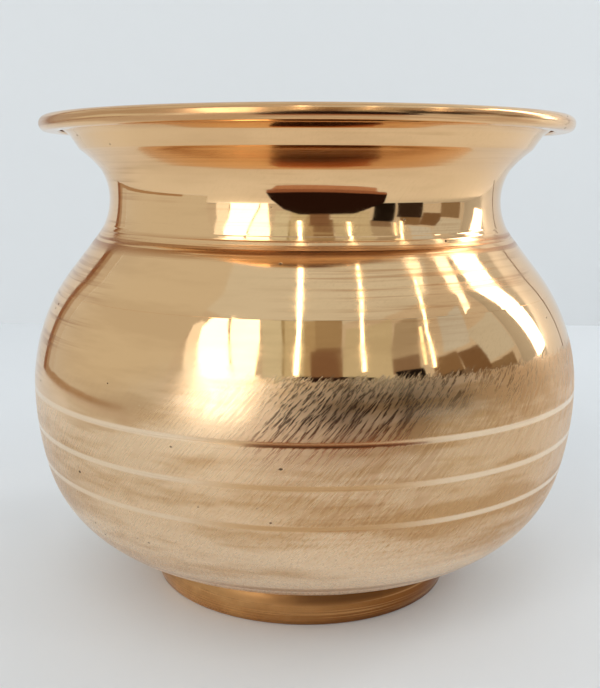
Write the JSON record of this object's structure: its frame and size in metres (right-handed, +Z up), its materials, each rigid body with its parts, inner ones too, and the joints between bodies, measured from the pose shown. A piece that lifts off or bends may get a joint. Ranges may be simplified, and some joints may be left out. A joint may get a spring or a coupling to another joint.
{
  "type": "kalash water pot",
  "caption": "Round-bellied metal kalash pot with a flared, wire-rolled mouth, a waisted neck and a low foot ring.",
  "frame": {"origin": "centre of the foot ring's underside, on the axis of the pot", "axes": "+Z up along the axis of the pot, X and Y level"},
  "size_m": [0.148, 0.148, 0.127],
  "materials": {
    "polished_metal": "mirror-polished pinkish gold bronze with fine turning lines",
    "satin_metal": "polished above the girth, brushed satin with slanting scratches below it",
    "foot_metal": "worn orange-brown, less polished",
    "braze": "dull cast spelter",
    "wire": "drawn wire, hidden in the lip"
  },
  "bodies": {
    "root": {"foot_ring": "foot_metal", "foot_braze": "braze", "base_bowl": "satin_metal", "base_braze": "braze", "belly_shell": "satin_metal", "shoulder_braze": "braze", "shoulder_shell": "polished_metal", "neck_braze": "braze", "mouth_collar": "polished_metal", "rim_wire": "wire"}
  },
  "joints": []
}
